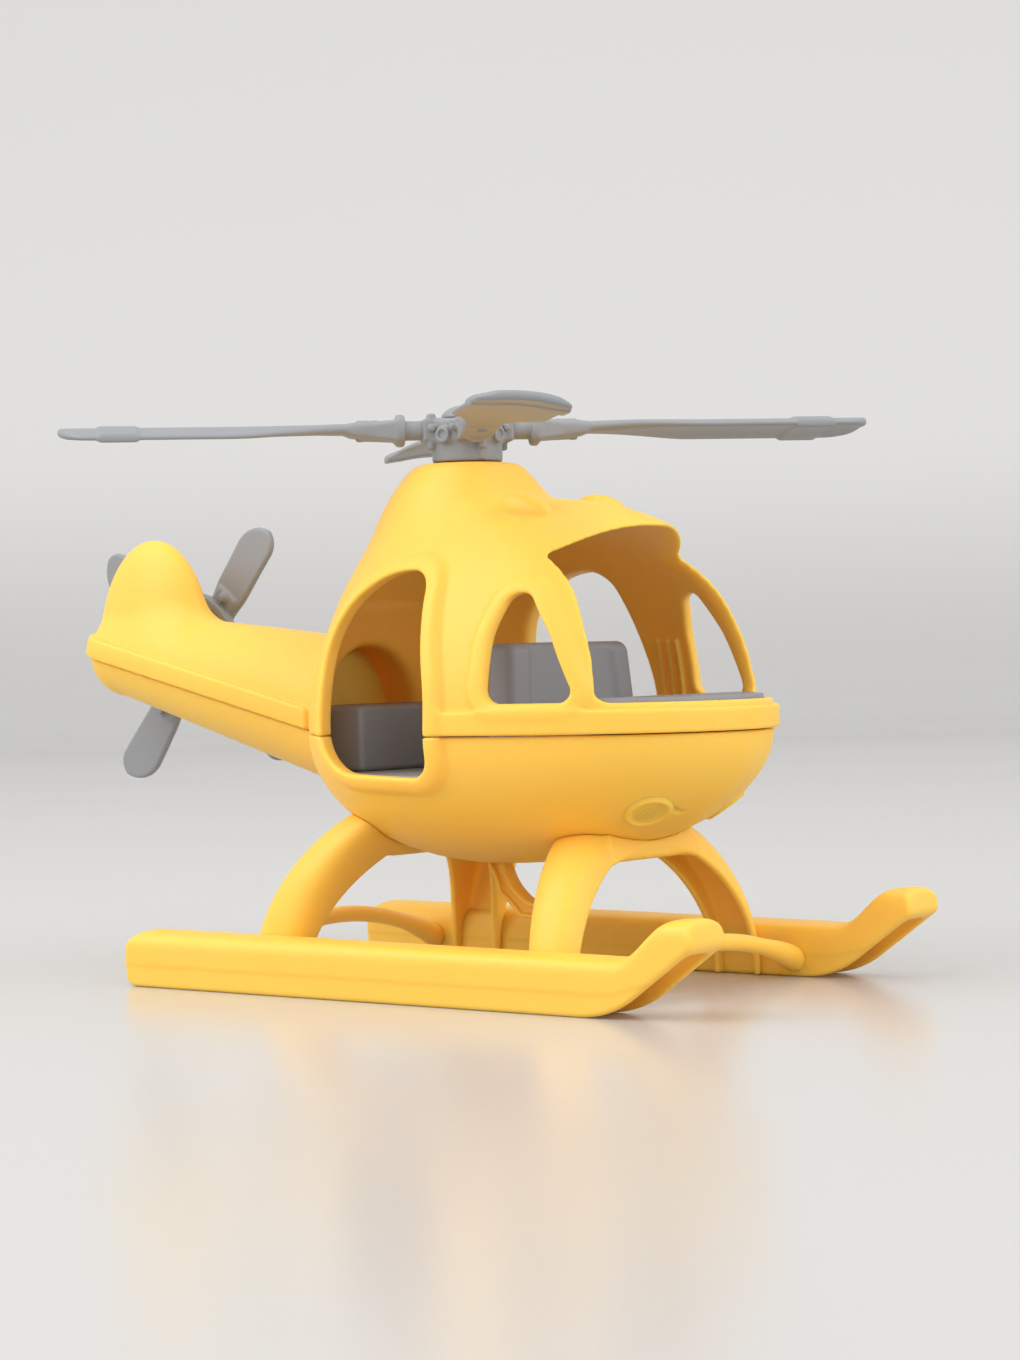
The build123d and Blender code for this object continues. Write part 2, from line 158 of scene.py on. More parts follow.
# Studio, in metres and degrees
FLOOR_REACH = 6.0
CURVE_START = 2.2
CURVE_RADIUS = 1.6
BACKDROP_TOP = 5.0
BACKDROP_TURN = 37.7
AIM_HEIGHT = 0.09
CAMERA_PLACE = (595.37, -750.91, 103.08)
CAMERA_YAW = 37.714
CAMERA_PITCH = -0.654
CAMERA_ROLL = -1.214
CAMERA_LENS = 82.19


# --- Fields: joining and cutting ----------------------------------------------------------


def join(a, b, soft):
    """Both shapes, with a fillet of about the given softness where they meet."""
    overlap = np.maximum(soft - np.abs(a - b), 0) / soft
    return np.minimum(a, b) - overlap * overlap * soft / 4


def common(a, b, soft):
    """What is in both shapes, with its new edges rounded."""
    return -join(-a, -b, soft)


def cut(a, b, soft):
    """The first shape without the second, with its new edges rounded."""
    return common(a, -b, soft)


def clamp(value, low, high):
    return np.minimum(np.maximum(value, low), high)


def ease(value):
    """0 below 0, 1 above 1, smooth between."""
    t = clamp(value, 0, 1)
    return t * t * (3 - 2 * t)


def length(*parts):
    return np.sqrt(sum(part * part for part in parts) + 1e-9)


# --- Fields: simple shapes ----------------------------------------------------------------


def ellipse(*pairs):
    """An ellipse or ellipsoid, from (offset, semi-axis) for each direction."""
    near = length(*[offset / axis for offset, axis in pairs])
    slope = length(*[offset / (axis * axis) for offset, axis in pairs])
    return near * (near - 1) / slope


def block(*pairs, corner=0.5):
    """A box with rounded edges, from (offset, half size) for each direction."""
    inside = [np.abs(offset) - half + corner for offset, half in pairs]
    outer = length(*[np.maximum(part, 0) for part in inside])
    inner = inside[0]
    for part in inside[1:]:
        inner = np.maximum(inner, part)
    return outer + np.minimum(inner, 0) - corner


def rounded_outline(corners):
    """Points along a closed outline whose corners (u, v, radius) are rounded by arcs."""
    points = []
    count = len(corners)
    for index, (u, v, radius) in enumerate(corners):
        corner = np.array((u, v), float)
        before = np.array(corners[index - 1][:2], float) - corner
        after = np.array(corners[(index + 1) % count][:2], float) - corner
        before /= np.linalg.norm(before)
        after /= np.linalg.norm(after)
        half_angle = math.acos(clamp(before @ after, -1, 1)) / 2
        reach = radius / math.tan(half_angle)
        middle = (before + after) / np.linalg.norm(before + after)
        centre = corner + middle * radius / math.sin(half_angle)
        start = corner + before * reach - centre
        end = corner + after * reach - centre
        for share in np.linspace(0, 1, 9):
            spoke = start * (1 - share) + end * share
            points.append(centre + spoke / np.linalg.norm(spoke) * radius)
    return np.array(points)


def outline_field(points, u, v):
    """Distance to a closed outline of straight pieces, negative inside it."""
    nearest = 1e9
    sign = 1.0
    for start, end in zip(points, np.roll(points, -1, axis=0)):
        edge_u, edge_v = end - start
        from_u, from_v = u - start[0], v - start[1]
        square = max(edge_u * edge_u + edge_v * edge_v, 1e-9)
        share = clamp((from_u * edge_u + from_v * edge_v) / square, 0, 1)
        off_u, off_v = from_u - share * edge_u, from_v - share * edge_v
        nearest = np.minimum(nearest, off_u * off_u + off_v * off_v)
        crosses = (start[1] > v) != (end[1] > v)
        side = (from_u * edge_v - from_v * edge_u) * np.sign(edge_v)
        sign = sign * np.where(crosses & (side < 0), -1.0, 1.0)
    return sign * np.sqrt(nearest)


def capsule(x, y, z, start, end, radius):
    """A round bar between two points."""
    start, end = np.array(start, float), np.array(end, float)
    along = end - start
    dx, dy, dz = x - start[0], y - start[1], z - start[2]
    share = clamp((dx * along[0] + dy * along[1] + dz * along[2]) / (along @ along), 0, 1)
    return length(dx - share * along[0], dy - share * along[1], dz - share * along[2]) - radius


# --- Fields to meshes ---------------------------------------------------------------------


def surface(field, low, high, step, mirrored):
    """Points and four-sided faces of the surface of a field within a box."""
    axes = [np.arange(a, b + step, step, dtype=np.float32) for a, b in zip(low, high)]
    if mirrored:
        axes[1] = np.arange(0, high[1] + step, step, dtype=np.float32)
    y, z = axes[1][None, :, None], axes[2][None, None, :]
    slabs = []
    for part in np.array_split(axes[0], max(1, len(axes[0]) // 24)):
        values = field(part[:, None, None], y, z)
        slabs.append(np.broadcast_to(values, (len(part), len(axes[1]), len(axes[2]))))
    values = np.concatenate(slabs).astype(np.float32)
    origin = np.array([axis[0] for axis in axes], float)
    if mirrored:
        values = np.concatenate([values[:, :0:-1, :], values], axis=1)
        origin[1] = -axes[1][-1]
    band = 3 * step
    grid = openvdb.FloatGrid(band)
    grid.copyFromArray(np.clip(values, -band, band))
    points, quads = grid.convertToQuads(0.0)
    return points * step + origin, quads


def settle(field, points, step):
    """Moves points from the grid's surface onto the true one."""
    shift = step * 0.25
    for _ in range(2):
        x, y, z = points.T
        value = field(x, y, z)
        slope = np.stack(
            [
                field(x + shift, y, z) - field(x - shift, y, z),
                field(x, y + shift, z) - field(x, y - shift, z),
                field(x, y, z + shift) - field(x, y, z - shift),
            ],
            axis=1,
        )
        slope /= 2 * shift
        steepness = np.maximum((slope * slope).sum(1), 0.2)
        move = np.clip(value / steepness, -step / 2, step / 2)
        points = points - slope * move[:, None]
    return points


def moulded(name, field, low, high, step, material, mirrored=True, place=None):
    """A mesh object made from a field."""
    points, quads = surface(field, low, high, step, mirrored)
    points = settle(field, points, step)
    points = points + np.array((MAST_X, 0, 0)) if place is None else place(points)
    return mesh_object(name, points * MM, quads, material)


def mesh_object(name, points, quads, material):
    """A smooth-shaded mesh object whose faces look outwards."""
    corner = points[quads]
    centre = corner.mean(1)
    across = np.cross(corner[:, 2] - corner[:, 0], corner[:, 3] - corner[:, 1])
    if (centre * across).sum() < 0:
        quads = quads[:, ::-1]
    mesh = bpy.data.meshes.new(name)
    mesh.from_pydata(points, [], quads)
    mesh.polygons.foreach_set("use_smooth", np.ones(len(quads), bool))
    mesh.materials.append(material)
    made = bpy.data.objects.new(name, mesh)
    bpy.context.scene.collection.objects.link(made)
    return made


# --- Materials ----------------------------------------------------------------------------


def plastic(name, shades, roughness, shine, translucency):
    """Moulded plastic: fine satin grain, faint flow marks and a slight change of shade."""
    material = bpy.data.materials.new(name)
    material.use_nodes = True
    nodes, links = material.node_tree.nodes, material.node_tree.links
    shader = nodes["Principled BSDF"]
    coords = nodes.new("ShaderNodeTexCoord")

    def noise(scale_mm, detail):
        made = nodes.new("ShaderNodeTexNoise")
        made.inputs["Scale"].default_value = 1 / (scale_mm * MM)
        made.inputs["Detail"].default_value = detail
        links.new(coords.outputs["Object"], made.inputs["Vector"])
        return made

    flow = noise(28, 3)
    shade = nodes.new("ShaderNodeMix")
    shade.data_type = "RGBA"
    shade.inputs["A"].default_value = (*shades[0], 1)
    shade.inputs["B"].default_value = (*shades[1], 1)
    links.new(flow.outputs["Fac"], shade.inputs["Factor"])
    links.new(shade.outputs["Result"], shader.inputs["Base Color"])

    grain = noise(0.35, 2)
    satin = nodes.new("ShaderNodeMapRange")
    satin.inputs["To Min"].default_value = roughness - 0.06
    satin.inputs["To Max"].default_value = roughness + 0.06
    links.new(grain.outputs["Fac"], satin.inputs["Value"])
    links.new(satin.outputs["Result"], shader.inputs["Roughness"])

    ripple = noise(6, 1)
    height = nodes.new("ShaderNodeMath")
    height.operation = "MULTIPLY_ADD"
    height.inputs[1].default_value = 0.35
    links.new(grain.outputs["Fac"], height.inputs[0])
    links.new(ripple.outputs["Fac"], height.inputs[2])
    bump = nodes.new("ShaderNodeBump")
    bump.inputs["Strength"].default_value = 0.35
    bump.inputs["Distance"].default_value = 0.06 * MM
    links.new(height.outputs["Value"], bump.inputs["Height"])
    links.new(bump.outputs["Normal"], shader.inputs["Normal"])

    shader.inputs["Specular IOR Level"].default_value = shine
    shader.inputs["Subsurface Weight"].default_value = translucency
    shader.inputs["Subsurface Radius"].default_value = (1.0, 0.5, 0.1)
    shader.inputs["Subsurface Scale"].default_value = 5 * MM
    return material


def steel(name):
    """Zinc-plated steel with fine turning marks."""
    material = bpy.data.materials.new(name)
    material.use_nodes = True
    nodes, links = material.node_tree.nodes, material.node_tree.links
    shader = nodes["Principled BSDF"]
    coords = nodes.new("ShaderNodeTexCoord")
    marks = nodes.new("ShaderNodeTexNoise")
    marks.inputs["Scale"].default_value = 1 / (0.2 * MM)
    links.new(coords.outputs["Object"], marks.inputs["Vector"])
    spread = nodes.new("ShaderNodeMapRange")
    spread.inputs["To Min"].default_value = 0.25
    spread.inputs["To Max"].default_value = 0.45
    links.new(marks.outputs["Fac"], spread.inputs["Value"])
    links.new(spread.outputs["Result"], shader.inputs["Roughness"])
    shader.inputs["Metallic"].default_value = 1.0
    shader.inputs["Base Color"].default_value = (*STEEL_GREY, 1)
    return material


yellow = plastic("yellow_plastic", YELLOW, 0.45, 0.4, 0.5)
cabin_grey = plastic("cabin_grey_plastic", CABIN_GREY, 0.5, 0.4, 0)
rotor_grey = plastic("rotor_grey_plastic", ROTOR_GREY, 0.45, 0.35, 0)
screw_steel = steel("screw_steel")


# --- Body ---------------------------------------------------------------------------------

DOOR = rounded_outline(
    [(29.5, 64.8, 6), (29.6, 88, 60), (21.5, 125.6, 8), (6, 125.2, 30), (-14, 112.5, 24), (-13.2, 66.5, 14)]
)
SIDE_WINDOW = rounded_outline(
    [(47.5, 86.2, 4.5), (73.2, 86.2, 3.2), (64.6, 105.4, 30), (52, 124.2, 4.5), (47.3, 106, 25)]
)
WINDSCREEN = rounded_outline(
    [(41.3, 86, 3.2), (39, 108, 60), (33.6, 128.6, 4), (17, 137, 55), (-17, 137, 55)]
    + [(-33.6, 128.6, 4), (-39, 108, 60), (-41.3, 86, 3.2)]
)
FAIRING_HEIGHTS = (159, 153, 145, 138, 132, 124, 117)
FAIRING_RADII = (15.6, 21.4, 26.3, 29.6, 32.2, 35.3, 37.5)
FAIRING_CURVE = np.polyfit(FAIRING_HEIGHTS, FAIRING_RADII, 4)


def egg(x, y, z, grow):
    """The cabin's egg, grown outwards all round."""
    dx, dz = x - CABIN_X, z - BELT_Z
    along = np.where(dx > 0, NOSE_LENGTH, REAR_LENGTH) + grow
    height = np.where(dz > 0, ROOF_HEIGHT, BELLY_DEPTH) + grow
    brow = np.maximum(dx, 0) * np.maximum(dz, 0) / (along * height)
    return ellipse((dx, along), (y, HALF_WIDTH + grow), (dz, height)) - BROW_BULGE * brow**1.5


def boom_axis_z(x):
    """Height of the boom's axis."""
    return BOOM_ROOT_Z + BOOM_SLOPE * (BOOM_ROOT_X - x)


def boom(x, y, z, grow):
    """The boom's tapering tube with its round tail end."""
    nearest_x = clamp(x, BOOM_END_X, BOOM_FRONT_X)
    radius = BOOM_ROOT_RADIUS - BOOM_TAPER * (BOOM_ROOT_X - nearest_x) + grow
    return length(x - nearest_x, y, (z - boom_axis_z(nearest_x)) * 0.98) - radius


def above_seam(x, z):
    """Height above the seam between the shells, which rises along the boom."""
    return z - BELT_Z - SEAM_SLOPE * np.maximum(SEAM_BEND_X - x, 0)


def fairing(x, y, z, grow):
    """The mast's fairing, which flares down into the roof."""
    radius = np.polyval(FAIRING_CURVE, clamp(z, 117, 160)) + grow
    flare = (length(x, y) - radius) * 0.75
    return common(np.maximum(flare, FAIRING_FOOT_Z - z), z - FAIRING_TOP_Z, 2.2)


def hull(x, y, z):
    """The outside of both shells without their raised details."""
    body = join(egg(x, y, z, 0), boom(x, y, z, 0), 5)
    body = join(body, fairing(x, y, z, 0), 7)
    fin = ellipse((x - FIN_X, FIN_HALF_LENGTH), (y, FIN_HALF_THICKNESS), (z - FIN_Z, FIN_HEIGHT))
    fin = common(fin, boom_axis_z(x) + 2 - z, 3)
    return join(body, fin, 3 + 5 * ease((x + 142) / 18))


def hollow(x, y, z):
    """The space inside both shells."""
    cabin = egg(x, y, z, -WALL)
    tube = boom(x, y, z, -WALL)
    bulkhead = np.abs(x - BULKHEAD_X) - WALL / 2
    space = cut(join(cabin, tube, 3), bulkhead, 0.6)
    cone = common((length(x, y) - 0.75 * (FAIRING_TOP_Z + 22 - z) + 14) * 0.8, z - FAIRING_TOP_Z + 4, 1)
    return join(space, common(cone, 118 - z, 1), 4)


def door(x, z):
    return outline_field(DOOR, x, z)


def side_window(x, z):
    return outline_field(SIDE_WINDOW, x, z)


def both_shells(x, y, z):
    """Outside skin with its rim and raised surrounds, hollowed, with every opening."""
    skin = hull(x, y, z)
    beside_rim = np.abs(above_seam(x, z) - RIM_HEIGHT / 2) - RIM_HEIGHT / 2
    raised_rim = common(skin - RIM_RELIEF, beside_rim, 0.5)
    rim_ahead = common(raised_rim, RIM_FRONT_X - x, 2)
    rim_behind = common(raised_rim, x - RIM_REAR_X, 2)
    shape = join(skin, np.minimum(rim_ahead, rim_behind), 0.4)
    opening = door(x, z)
    inward = SURROUND_INNER_Y - np.abs(y)
    surround = common(egg(x, y, z, DOOR_RELIEF), np.abs(opening - 0.4) - SURROUND_HALF_WIDTH, 2.6)
    shape = join(shape, common(surround, inward, 1), 1.6)
    glass = side_window(x, z)
    window_edge = common(egg(x, y, z, WINDOW_RELIEF), np.abs(glass) - SURROUND_HALF_WIDTH, 2)
    shape = join(shape, common(window_edge, inward, 1), 1.6)
    shape = join(shape, roof_bumps(x, y, z), 0.8)
    shape = cut(shape, hollow(x, y, z), 0.8)
    shape = join(shape, wall_ribs(x, y, z), 0.8)
    shape = cut(shape, opening, 1.6)
    shape = cut(shape, glass, 1.5)
    screen = common(outline_field(WINDSCREEN, y, z), WINDSCREEN_BACK_X - x, 1)
    return cut(shape, screen, 1.5)


def roof_bumps(x, y, z):
    """Two teardrop bumps on the roof, one each side of the middle."""
    bump_x, bump_y, bump_z = ROOF_BUMP
    height = z - bump_z + 0.2 * (x - bump_x)
    return ellipse((x - bump_x, 9.5), (np.abs(y) - bump_y, 4.6), (height, 5.2))


def wall_ribs(x, y, z):
    """Three upright ribs on each inner wall between the door and the side window."""
    ribs = 1e3
    for rib_x in RIB_XS:
        rib = common(np.abs(x - rib_x) - 0.7, -egg(x, y, z, -WALL - 1.6), 0.6)
        ribs = np.minimum(ribs, rib)
    ribs = common(ribs, egg(x, y, z, -WALL + 0.8), 0.4)
    return common(ribs, block((z - 94, 9.5), (np.abs(y) - 50, 14), corner=1), 0.5)


def upper_shell_field(x, y, z):
    shape = both_shells(x, y, z)
    axle_boss = common(length(x - TAIL_X, z - TAIL_Z) - 6, np.abs(y - 13) - 5.6, 1)
    shape = join(shape, cut(axle_boss, boom(x, y, z, -WALL), 0.5), 1.2)
    shape = cut(shape, length(x - TAIL_X, z - TAIL_Z) + np.maximum(-y, 0) - TAIL_AXLE_BORE, 0.4)
    shape = cut(shape, length(x, y) - FAIRING_BORE + np.maximum(140 - z, 0), 0.6)
    return common(shape, SHELL_GAP - above_seam(x, z), 0.7)


def headlight_field(x, y, z):
    """Both headlights: a low rim round a slanting, hatched oval, laid on the belly."""
    away = np.array((0.507, -0.342, -0.79))
    dx, dy, dz = x - LAMP[0], LAMP[1] - np.abs(y), z - LAMP[2]
    depth = dx * away[0] + dy * away[1] + dz * away[2]
    beside = dx * 0.559 + dy * 0.829
    above = dx * 0.655 - dy * 0.442 + dz * 0.612
    reach = length(beside, above)
    rim = np.exp(-(((reach - LAMP_RIM_RADIUS) / 0.8) ** 2))
    oval = length((beside - above * 0.5) / 0.82, above)
    hatch = ease((4.3 - oval) / 0.8) * (0.28 * np.cos((beside + above) * 3.7) - 0.1)
    skin = egg(x, y, z, 0.1)
    shape = common(skin - 0.75 * rim - hatch, -skin - 1.3, 0.3)
    return common(shape, np.maximum(reach - LAMP_REACH, np.abs(depth) - 6), 0.6)


def lower_shell_field(x, y, z):
    shape = both_shells(x, y, z)
    slit_x, slit_y, slit_z = BELLY_SLIT
    slit = block((x - slit_x, 0.8), (np.abs(y) - slit_y, 3.4), (z - slit_z, 4), corner=0.6)
    shape = cut(shape, common(slit, -egg(x, y, z, -1.2), 0.3), 0.4)
    return common(shape, above_seam(x, z) + SHELL_GAP, 0.7)


upper_box = (-168, -66, 74), (106, 66, 162)
lower_box = (-168, -66, 34), (106, 66, 104)
lamp_box = (68, -32, 42), (92, 32, 66)
upper_shell = moulded("upper_shell_moulding", upper_shell_field, *upper_box, 0.75, yellow, False)
lower_shell = moulded("lower_shell_moulding", lower_shell_field, *lower_box, 0.9, yellow)
headlights = moulded("headlight_trim", headlight_field, *lamp_box, 0.35, yellow)


# --- Landing gear -------------------------------------------------------------------------

SKID = rounded_outline(
    [(-87, 0, 4), (97, 0, 32), (125.3, 20.6, 3), (123.8, 28.4, 3)]
    + [(114.5, 27.6, 9), (102, 16.3, 18), (-87, 17.8, 7)]
)
SKID_POCKET = rounded_outline(
    [(-84, -12, 1), (100, -12, 20), (140, 10, 1), (131, 17, 2)]
    + [(116, 19.5, 6), (101, 9.5, 22), (84, 13.6, 6), (-84, 14.6, 4)]
)


def skid_field(x, y, z):
    """One skid, about its own middle plane: a D-shaped bar, hollow and open underneath."""
    side = outline_field(SKID, x, z)
    ledge = 0.3 * ease((7.0 - z + 0.25 * np.maximum(x - 97, 0)) / 0.6)
    shape = common(side, np.abs(y) - SKID_HALF_WIDTH + ledge, 1.5)
    dome = length(y * 0.9, z - 6.5 - toe_rise(x)) - 11.3
    shape = common(shape, np.where(z > 6 + toe_rise(x), dome, -9.0), 2)
    pocket = common(outline_field(SKID_POCKET, x, z), np.abs(y) - SKID_HALF_WIDTH + CHANNEL_WALL, 3)
    return cut(shape, pocket, 0.6)


def toe_rise(x):
    """How far the skid's top has risen at x towards the upswept toe."""
    return 11 * ease((x - 99) / 17)


def arch_field(foot_x, lean, width, inner_height, outer_width, outer_height, squareness):
    """A landing-gear arch whose lean grows towards its top."""

    def field(x, y, z):
        """An arch: a channel that opens inwards, over a solid crown."""
        across = np.abs(x - foot_x - lean * z * z)
        powers = np.abs(y / outer_width) ** squareness + np.abs(z / outer_height) ** squareness
        outer = ((powers + 1e-9) ** (1 / squareness) - 1) * outer_width
        inner = ellipse((y, ARCH_INNER_HALF_WIDTH), (z, inner_height))
        band = common(outer, across - width / 2, 9)
        crown = np.maximum(across - width / 2, np.abs(y) - CROWN_HALF_WIDTH)
        crown = common(crown, np.abs(z - CROWN_Z) - CROWN_HALF_HEIGHT, 3)
        bow = join(common(band, -inner, 1.4), crown, 2)
        channel = common(outer + CHANNEL_WALL, across - width / 2 + CHANNEL_WALL, 2)
        channel = common(channel, 20 - np.abs(y) + 0.15 * (z - 40), 3)
        bow = cut(bow, channel, 0.8)
        bow = cut(bow, np.minimum(egg(x, y, z, 0.05), boom(x, y, z, 0.05)), 0.5)
        return common(bow, 0.3 - z, 0.4)

    return field


def cross_tube_field(tube_x, middle_z, end_z):
    """A cross tube, from its heights at the middle and the skids."""

    def field(x, y, z):
        """A bowed bar that thickens into each skid's inner wall."""
        centre_z = middle_z - (middle_z - end_z) * (y / 49) ** 2
        radius = 2.6 + 1.4 * ease((np.abs(y) - 30) / 19)
        bar = (length(x - tube_x, z - centre_z) - radius) * 0.95
        return common(bar, np.abs(y) - TUBE_END_Y, 1)

    return field


def hook_field(x, y, z):
    """A J-shaped hook under the belly, with a recessed web."""
    strokes = [(8, 46), (9.2, 37), (13, 28.5), (19.5, 22.8), (27, 21.3), (33.5, 24), (37, 30)]
    band = 1e3
    for (ax, az), (bx, bz) in zip(strokes, strokes[1:]):
        band = join(band, capsule(x, 0, z, (ax, 0, az), (bx, 0, bz), 2.6), 1.5)
    body = common(band, np.abs(y) - HOOK_HALF_WIDTH, 1.2)
    recess = common(band + 1.4, 1.2 - np.abs(y), 0.6)
    return cut(cut(body, recess, 0.5), egg(x, y, z, 0.05), 0.3)


def skid_place(side):
    return lambda points: points + np.array((MAST_X, side * SKID_Y, 0))


skid_box = (-93, -10, -2), (131, 10, 32)
skid_right = moulded("skid_right_moulding", skid_field, *skid_box, 0.6, yellow, True, skid_place(-1))
skid_left = moulded("skid_left_moulding", skid_field, *skid_box, 0.6, yellow, True, skid_place(1))
front_arch_shape = arch_field(64.3, -0.0033, 17.8, 43.2, 52.5, 55, 2.1)
rear_arch_shape = arch_field(-38.8, 0.0092, 19.6, 46, 54, 61, 3)
front_arch = moulded("front_arch_moulding", front_arch_shape, (44, -56, -1), (76, 56, 60), 0.6, yellow)
rear_arch = moulded("rear_arch_moulding", rear_arch_shape, (-51, -56, -1), (2, 56, 60), 0.6, yellow)
front_tube_shape = cross_tube_field(FRONT_TUBE_X, 14.4, 5.5)
rear_tube_shape = cross_tube_field(REAR_TUBE_X, 17.8, 7)
front_tube_box = (78, -52, 0), (90, 52, 20)
rear_tube_box = (-63, -52, 1), (-51, 52, 24)
front_tube = moulded("front_cross_tube_bar", front_tube_shape, *front_tube_box, 0.5, yellow)
rear_tube = moulded("rear_cross_tube_bar", rear_tube_shape, *rear_tube_box, 0.5, yellow)
belly_hook = moulded("belly_hook_moulding", hook_field, (2, -5, 16), (42, 5, 46), 0.4, yellow)


# --- Cabin fittings -----------------------------------------------------------------------


def floor_field(x, y, z):
    """The floor, and the deck that caps the bulkhead under the windscreen sill."""
    plate = np.abs(z - FLOOR_TOP_Z + 1.5) - 1.5
    deck = common(np.abs(z - DECK_Z) - 1.5, DECK_BACK_X - x, 0.5)
    rise = block((x - 75.5, 1.5), (z - 76, 11), corner=0.6)
    return common(join(join(plate, deck, 1), rise, 1), egg(x, y, z, -WALL - 0.3), 0.5)


def seat_field(x, y, z):
    """Backrest with raised side bolsters, and its cushion."""
    lean = (z - 85) * 0.06
    side = 31.5 - (z - 85) * 0.1
    back = block((x - SEAT_BACK_X + lean, 5.3), (y, side), (z - SEAT_MIDDLE_Z, 19), corner=3.2)
    hollowed = block((x - 41.5 + lean, 3.2), (y, side - 9), (z - 91, 19), corner=2.5)
    back = cut(back, hollowed, 2)
    cushion = block((x - 50, 12), (y, 28), (z - 70.5, 5), corner=2.4)
    return join(back, cushion, 1.5)


def bench_field(x, y, z):
    """The rear bench."""
    bench = block((x - BENCH_X, 20), (y, 35.5), (z - BENCH_Z, 10), corner=1.6)
    return common(bench, egg(x, y, z, -WALL - 0.4), 1.5)


cabin_floor = moulded("cabin_floor_plate", floor_field, (-50, -60, 60), (102, 60, 90), 0.8, cabin_grey)
front_seat = moulded("front_seat_moulding", seat_field, (26, -36, 64), (64, 36, 106), 0.6, cabin_grey)
rear_bench = moulded("rear_bench_moulding", bench_field, (-58, -38, 64), (-13, 38, 88), 0.6, cabin_grey)


# --- Main rotor ---------------------------------------------------------------------------

BLADE_TIP = rounded_outline([(20, -20, 1), (125, -14.2, 9.5), (125, 14.2, 12.5), (20, 20, 1)])


def turned(points, degrees):
    """Points turned about the upright axis."""
    angle = math.radians(degrees)
    x, y, z = points.T
    return np.stack(
        [x * math.cos(angle) - y * math.sin(angle), x * math.sin(angle) + y * math.cos(angle), z], axis=1
    )


def blade_field(x, y, z):
    """A main rotor blade: x runs out along it, and z is measured from the blade's plane."""
    spread = ease((x - 33) / 40)
    half_chord = 5.4 + 8.4 * spread
    pitch = 0.09 * ease((x - 32) / 22)
    lifted = z + pitch * y + 1.4 * spread * (y / 13.5) ** 2 - 0.5
    plan = outline_field(BLADE_TIP, x, y)
    side = common(np.abs(y) - half_chord, plan, 1)
    thickness = 1.35 + 0.35 * (1 - spread) - 0.5 * ease((np.abs(y) / half_chord - 0.55) / 0.45)
    sheet = common(side, np.abs(lifted) - thickness, 1.6)
    sheet = common(sheet, 30 - x, 3)
    sleeve = common(common(side, np.abs(x - 107) - 6, 1), np.abs(lifted) - thickness - 0.55, 1)
    sheet = join(sheet, sleeve, 0.8)
    arm = common(length(y, z * 1.1) - 3.3, np.abs(x - 22) - 11, 0.5)
    ring = block((x - 20.8, 1.3), (length(y, z) - 3, 2), corner=0.8)
    flap = block((x - 29, 7.5), (y, 5.2), (z + 0.2, 2.3 - 0.12 * (x - 29)), corner=0.9)
    root = join(join(arm, ring, 0.8), flap, 2)
    return join(root, sheet, 2.5)


def blade_place(number):
    return lambda points: turned(points, ROTOR_PHASE + BLADE_STEP * number) + np.array((MAST_X, 0, ROTOR_Z))


def pins_field(x, y, z):
    """The pegs at each blade's root, which show below the grip."""
    pegs = 1e3
    for number in range(BLADE_COUNT):
        angle = math.radians(ROTOR_PHASE + BLADE_STEP * number)
        along = x * math.cos(angle) + y * math.sin(angle)
        across = -x * math.sin(angle) + y * math.cos(angle)
        for reach in PEG_REACHES:
            peg = common(length(along - reach, across) - 1.5, np.abs(z - ROTOR_Z) - 3.3, 0.9)
            pegs = np.minimum(pegs, peg)
    return pegs


def hub_field(x, y, z):
    """Collar, hub block with four clamps, and the ribs and pegs moulded on them."""
    radius = length(x, y)
    shape = common(radius - COLLAR_RADIUS, np.abs(z - 163.5) - 4, 0.8)
    centre = common(radius - HUB_RADIUS, np.abs(z - 169) - 3.7, 1.6)
    shape = join(shape, centre, 1)
    for number in range(BLADE_COUNT):
        angle = math.radians(ROTOR_PHASE + BLADE_STEP * number)
        along = x * math.cos(angle) + y * math.sin(angle)
        across = -x * math.sin(angle) + y * math.cos(angle)
        clamp_block = block((along - 9.5, 4.6), (across, 4.6), (z - 169.3, 3.6), corner=1)
        shape = join(shape, clamp_block, 1)
        cross_pin = common(length(along - 11.5, z - 169.8) - 1.1, np.abs(across) - 6.8, 0.7)
        upright = common(length(along - 11.5, across - 3.1) - 1.4, np.abs(z - 168.8) - 5.6, 0.9)
        shape = join(join(shape, upright, 0.6), cross_pin, 0.5)
        rib_angle = angle + math.radians(16)
        rib = length(x - 10.7 * math.cos(rib_angle), y - 10.7 * math.sin(rib_angle)) - 1.0
        shape = join(shape, common(rib, np.abs(z - 163.2) - 3.4, 0.6), 0.5)
        boss_angle = angle + math.radians(45)
        out = x * math.cos(boss_angle) + y * math.sin(boss_angle)
        beside = -x * math.sin(boss_angle) + y * math.cos(boss_angle)
        eye = length(beside, z - 167.6)
        boss = common(eye - 2.6, out - 12.9, 0.7)
        boss = cut(common(boss, 6 - out, 1), common(eye - 1.4, 12.2 - out, 0.3), 0.3)
        shape = join(shape, boss, 0.6)
    return cut(shape, radius - MAST_BORE + np.maximum(z - 172.4, 0), 0.2)


def cap_field(x, y, z):
    """The dome over the hub."""
    dome = ellipse((x, CAP_RADIUS), (y, CAP_RADIUS), (z - CAP_Z, 4.2))
    return common(dome, CAP_Z - z, 0.4)


